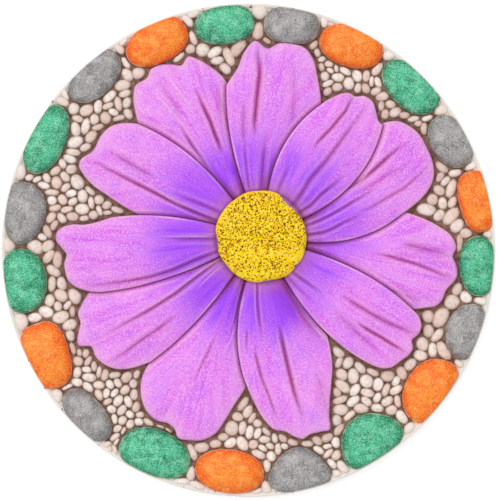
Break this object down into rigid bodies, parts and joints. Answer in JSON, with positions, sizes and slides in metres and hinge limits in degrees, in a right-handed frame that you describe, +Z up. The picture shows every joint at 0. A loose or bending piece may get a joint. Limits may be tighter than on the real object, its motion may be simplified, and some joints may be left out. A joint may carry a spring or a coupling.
{
  "type": "garden stepping stone",
  "caption": "Round cast cement garden stepping stone with a painted flower in relief on a bed of small gravel, ringed by coloured river pebbles",
  "frame": {"origin": "middle of the flat underside", "axes": "+Z up out of the decorated face, +Y towards the petal at twelve o'clock, +X to the right seen from above"},
  "size_m": [0.254, 0.254, 0.023],
  "materials": {
    "painted_cement": "matte cast cement, hand painted on the face, pale and bare on the side and underside"
  },
  "bodies": {
    "root": {"stepping_stone": "painted_cement"}
  },
  "joints": []
}
